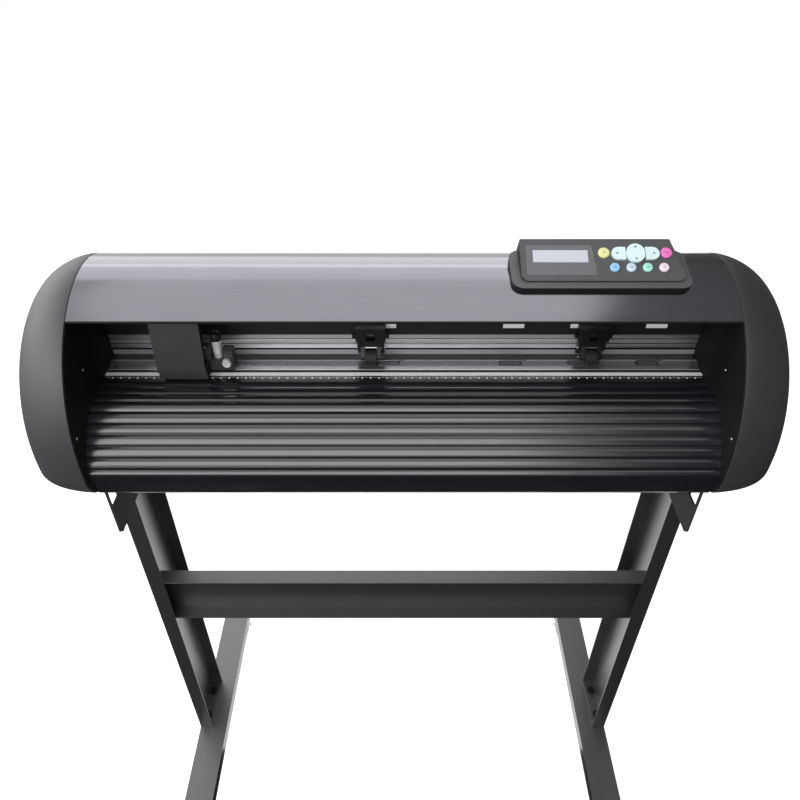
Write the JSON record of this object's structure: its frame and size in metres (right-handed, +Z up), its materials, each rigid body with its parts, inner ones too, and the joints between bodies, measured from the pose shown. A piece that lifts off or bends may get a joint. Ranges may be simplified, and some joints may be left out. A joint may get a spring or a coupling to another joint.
{
  "type": "printer cutter",
  "caption": "Roll-fed vinyl cutter: a beam-shaped body with guide rail, cutting carriage, pinch rollers and keypad on a steel stand with casters.",
  "frame": {"origin": "on the floor, midway between the two posts of the stand", "axes": "+X to the operator's right, +Y to the back, +Z up; the front faces -Y"},
  "size_m": [0.92, 0.54, 1.1251],
  "materials": {
    "bed_alloy": "mill finish extrusion",
    "rail_alloy": "clear anodised",
    "black_anodised": "black anodised, fine drawn lines",
    "platen_alloy": "grey hard anodised",
    "painted_sheet": "black powder coat",
    "strip_plastic": "white cutting strip",
    "cap_plastic": "fine moulded grain",
    "motor_paint": "black enamel",
    "belt_rubber": "black",
    "panel_plastic": "fine moulded grain",
    "display_glass": "clear window over a pale screen",
    "inlet_plastic": "black",
    "rocker_plastic": "red",
    "stand_paint": "black powder coat",
    "bolt_steel": "blackened zinc",
    "shaft_steel": "ground, with grit knurling on the rollers",
    "rod_steel": "zinc plated",
    "gear_plastic": "white acetal",
    "pinion_brass": "machined",
    "pulley_alloy": "turned",
    "carriage_paint": "dark grey",
    "carriage_plastic": "fine moulded grain",
    "holder_alloy": "polished, turned",
    "pinch_plastic": "black",
    "pinch_rubber": "dark grey",
    "key_lime": "yellow-green",
    "key_rose": "pink",
    "key_ice": "pale cyan",
    "key_sky": "sky blue",
    "key_mist": "pale blue",
    "key_mint": "mint",
    "key_pearl": "pinkish white",
    "caster_steel": "zinc plated",
    "caster_rubber": "black"
  },
  "bodies": {
    "machine": {"bed_beam": "bed_alloy", "rear_cover": "painted_sheet", "front_apron": "black_anodised", "platen": "platen_alloy", "cutting_strip": "strip_plastic", "top_cover": "black_anodised", "guide_rail": "rail_alloy", "end_plates": "painted_sheet", "cap_left": "cap_plastic", "cap_right": "cap_plastic", "drive_motors": "motor_paint", "carriage_belt": "belt_rubber", "panel_housing": "panel_plastic", "panel_face": "panel_plastic", "display_window": "display_glass", "power_inlet": "inlet_plastic", "stand_posts": "stand_paint", "crossbar": "stand_paint", "stand_feet": "stand_paint", "stand_brackets": "stand_paint", "stand_bolts": "bolt_steel", "shaft_bearings": "shaft_steel"},
    "carriage": {"carriage_plate": "carriage_paint", "carriage_cover": "carriage_plastic"},
    "tool_slide": {"tool_block": "carriage_plastic", "blade_holder": "holder_alloy"},
    "clamp_knob": {"clamp_knob": "holder_alloy"},
    "feed_shaft": {"grit_shaft": "shaft_steel", "feed_gear": "gear_plastic"},
    "motor_pinion": {"motor_pinion": "pinion_brass"},
    "belt_pulley": {"belt_pulley": "pulley_alloy"},
    "idler_pulley": {"idler_pulley": "pulley_alloy"},
    "pinch_unit_1": {"pinch_bracket_1": "pinch_plastic"},
    "pinch_arm_1": {"pinch_arm_1": "pinch_plastic"},
    "pinch_cam_1": {"pinch_cam_1": "pinch_plastic"},
    "pinch_wheel_1": {"pinch_wheel_1": "pinch_rubber"},
    "pinch_unit_2": {"pinch_bracket_2": "pinch_plastic"},
    "pinch_arm_2": {"pinch_arm_2": "pinch_plastic"},
    "pinch_cam_2": {"pinch_cam_2": "pinch_plastic"},
    "pinch_wheel_2": {"pinch_wheel_2": "pinch_rubber"},
    "key_yellow": {"key_yellow": "key_lime"},
    "key_pink": {"key_pink": "key_rose"},
    "key_left": {"key_left": "key_ice"},
    "key_right": {"key_right": "key_ice"},
    "key_up_down": {"key_up_down": "key_ice"},
    "key_row_1": {"key_row_1": "key_sky"},
    "key_row_2": {"key_row_2": "key_mist"},
    "key_row_3": {"key_row_3": "key_mint"},
    "key_row_4": {"key_row_4": "key_pearl"},
    "power_switch": {"power_switch": "rocker_plastic"},
    "roll_rod_front": {"roll_rod_front": "rod_steel"},
    "roll_rod_back": {"roll_rod_back": "rod_steel"},
    "caster_fork_1": {"caster_fork_1": "caster_steel"},
    "caster_wheel_1": {"caster_wheel_1": "caster_rubber"},
    "caster_fork_2": {"caster_fork_2": "caster_steel"},
    "caster_wheel_2": {"caster_wheel_2": "caster_rubber"},
    "caster_fork_3": {"caster_fork_3": "caster_steel"},
    "caster_wheel_3": {"caster_wheel_3": "caster_rubber"},
    "caster_fork_4": {"caster_fork_4": "caster_steel"},
    "caster_wheel_4": {"caster_wheel_4": "caster_rubber"}
  },
  "joints": [
    {"name": "carriage_travel", "type": "slide", "parent": "machine", "child": "carriage", "axis": [1, 0, 0], "range_m": [-0.072, 0.59]},
    {"name": "tool_lower", "type": "slide", "parent": "carriage", "child": "tool_slide", "axis": [0, 0, 1], "range_m": [-0.003, 0], "stiffness_N_per_m": 900, "springref_m": 0.003},
    {"name": "clamp_turn", "type": "hinge", "parent": "tool_slide", "child": "clamp_knob", "pos_m": [-0.2205, -0.022, 0.98], "axis": [0, 1, 0], "range_deg": [0, 360]},
    {"name": "feed_spin", "type": "hinge", "parent": "machine", "child": "feed_shaft", "pos_m": [0, 0.00815, 0.9473], "axis": [1, 0, 0], "continuous": true},
    {"name": "pinion_spin", "type": "hinge", "parent": "machine", "child": "motor_pinion", "pos_m": [0.388, -0.02001, 0.92758], "axis": [1, 0, 0], "continuous": true},
    {"name": "belt_pulley_spin", "type": "hinge", "parent": "machine", "child": "belt_pulley", "pos_m": [0.408, 0.046, 1.052], "axis": [0, 0, 1], "range_deg": [-390, 3100]},
    {"name": "idler_pulley_spin", "type": "hinge", "parent": "machine", "child": "idler_pulley", "pos_m": [-0.408, 0.046, 1.052], "axis": [0, 0, 1], "range_deg": [-390, 3100]},
    {"name": "pinch_travel_1", "type": "slide", "parent": "machine", "child": "pinch_unit_1", "axis": [1, 0, 0], "range_m": [-0.3, 0.11]},
    {"name": "pinch_cam_turn_1", "type": "hinge", "parent": "pinch_unit_1", "child": "pinch_cam_1", "pos_m": [-0.0425, 0.013, 0.995], "axis": [1, 0, 0], "range_deg": [0, 180]},
    {"name": "pinch_lift_1", "type": "hinge", "parent": "pinch_unit_1", "child": "pinch_arm_1", "pos_m": [-0.0425, 0.0135, 0.976], "axis": [1, 0, 0], "range_deg": [-20, 0]},
    {"name": "pinch_wheel_spin_1", "type": "hinge", "parent": "pinch_arm_1", "child": "pinch_wheel_1", "pos_m": [-0.0425, 0.00815, 0.9646], "axis": [1, 0, 0], "continuous": true},
    {"name": "pinch_travel_2", "type": "slide", "parent": "machine", "child": "pinch_unit_2", "axis": [1, 0, 0], "range_m": [-0.11, 0.105]},
    {"name": "pinch_cam_turn_2", "type": "hinge", "parent": "pinch_unit_2", "child": "pinch_cam_2", "pos_m": [0.2415, 0.013, 0.995], "axis": [1, 0, 0], "range_deg": [0, 180]},
    {"name": "pinch_lift_2", "type": "hinge", "parent": "pinch_unit_2", "child": "pinch_arm_2", "pos_m": [0.2415, 0.0135, 0.976], "axis": [1, 0, 0], "range_deg": [-20, 0]},
    {"name": "pinch_wheel_spin_2", "type": "hinge", "parent": "pinch_arm_2", "child": "pinch_wheel_2", "pos_m": [0.2415, 0.00815, 0.9646], "axis": [1, 0, 0], "continuous": true},
    {"name": "key_yellow_press", "type": "slide", "parent": "machine", "child": "key_yellow", "axis": [0, 0.5299, -0.848], "range_m": [0, 0.001], "stiffness_N_per_m": 300, "springref_m": -0.002},
    {"name": "key_pink_press", "type": "slide", "parent": "machine", "child": "key_pink", "axis": [0, 0.5299, -0.848], "range_m": [0, 0.001], "stiffness_N_per_m": 300, "springref_m": -0.002},
    {"name": "key_left_press", "type": "slide", "parent": "machine", "child": "key_left", "axis": [0, 0.5299, -0.848], "range_m": [0, 0.001], "stiffness_N_per_m": 300, "springref_m": -0.002},
    {"name": "key_right_press", "type": "slide", "parent": "machine", "child": "key_right", "axis": [0, 0.5299, -0.848], "range_m": [0, 0.001], "stiffness_N_per_m": 300, "springref_m": -0.002},
    {"name": "key_up_down_press", "type": "slide", "parent": "machine", "child": "key_up_down", "axis": [0, 0.5299, -0.848], "range_m": [0, 0.001], "stiffness_N_per_m": 300, "springref_m": -0.002},
    {"name": "key_row_1_press", "type": "slide", "parent": "machine", "child": "key_row_1", "axis": [0, 0.5299, -0.848], "range_m": [0, 0.001], "stiffness_N_per_m": 300, "springref_m": -0.002},
    {"name": "key_row_2_press", "type": "slide", "parent": "machine", "child": "key_row_2", "axis": [0, 0.5299, -0.848], "range_m": [0, 0.001], "stiffness_N_per_m": 300, "springref_m": -0.002},
    {"name": "key_row_3_press", "type": "slide", "parent": "machine", "child": "key_row_3", "axis": [0, 0.5299, -0.848], "range_m": [0, 0.001], "stiffness_N_per_m": 300, "springref_m": -0.002},
    {"name": "key_row_4_press", "type": "slide", "parent": "machine", "child": "key_row_4", "axis": [0, 0.5299, -0.848], "range_m": [0, 0.001], "stiffness_N_per_m": 300, "springref_m": -0.002},
    {"name": "power_rock", "type": "hinge", "parent": "machine", "child": "power_switch", "pos_m": [0.421, 0.09, 0.932], "axis": [1, 0, 0], "range_deg": [0, 16]},
    {"name": "roll_rod_front_spin", "type": "hinge", "parent": "machine", "child": "roll_rod_front", "pos_m": [0, 0.16, 0.792], "axis": [1, 0, 0], "continuous": true},
    {"name": "roll_rod_back_spin", "type": "hinge", "parent": "machine", "child": "roll_rod_back", "pos_m": [0, 0.215, 0.792], "axis": [1, 0, 0], "continuous": true},
    {"name": "caster_swivel_1", "type": "hinge", "parent": "machine", "child": "caster_fork_1", "pos_m": [-0.379, -0.245, 0.06], "axis": [0, 0, 1], "continuous": true},
    {"name": "caster_roll_1", "type": "hinge", "parent": "caster_fork_1", "child": "caster_wheel_1", "pos_m": [-0.379, -0.23, 0.025], "axis": [1, 0, 0], "continuous": true},
    {"name": "caster_swivel_2", "type": "hinge", "parent": "machine", "child": "caster_fork_2", "pos_m": [0.379, -0.245, 0.06], "axis": [0, 0, 1], "continuous": true},
    {"name": "caster_roll_2", "type": "hinge", "parent": "caster_fork_2", "child": "caster_wheel_2", "pos_m": [0.379, -0.23, 0.025], "axis": [1, 0, 0], "continuous": true},
    {"name": "caster_swivel_3", "type": "hinge", "parent": "machine", "child": "caster_fork_3", "pos_m": [-0.379, 0.245, 0.06], "axis": [0, 0, 1], "continuous": true},
    {"name": "caster_roll_3", "type": "hinge", "parent": "caster_fork_3", "child": "caster_wheel_3", "pos_m": [-0.379, 0.23, 0.025], "axis": [1, 0, 0], "continuous": true},
    {"name": "caster_swivel_4", "type": "hinge", "parent": "machine", "child": "caster_fork_4", "pos_m": [0.379, 0.245, 0.06], "axis": [0, 0, 1], "continuous": true},
    {"name": "caster_roll_4", "type": "hinge", "parent": "caster_fork_4", "child": "caster_wheel_4", "pos_m": [0.379, 0.23, 0.025], "axis": [1, 0, 0], "continuous": true}
  ],
  "couplings": [
    {"joint": "pinion_spin", "follows": "feed_spin", "ratio": -2.6667},
    {"joint": "belt_pulley_spin", "follows": "carriage_travel", "rad_per_m": 91.324},
    {"joint": "idler_pulley_spin", "follows": "carriage_travel", "rad_per_m": 91.324},
    {"joint": "pinch_lift_1", "follows": "pinch_cam_turn_1", "ratio": -0.1111},
    {"joint": "pinch_lift_2", "follows": "pinch_cam_turn_2", "ratio": -0.1111}
  ]
}
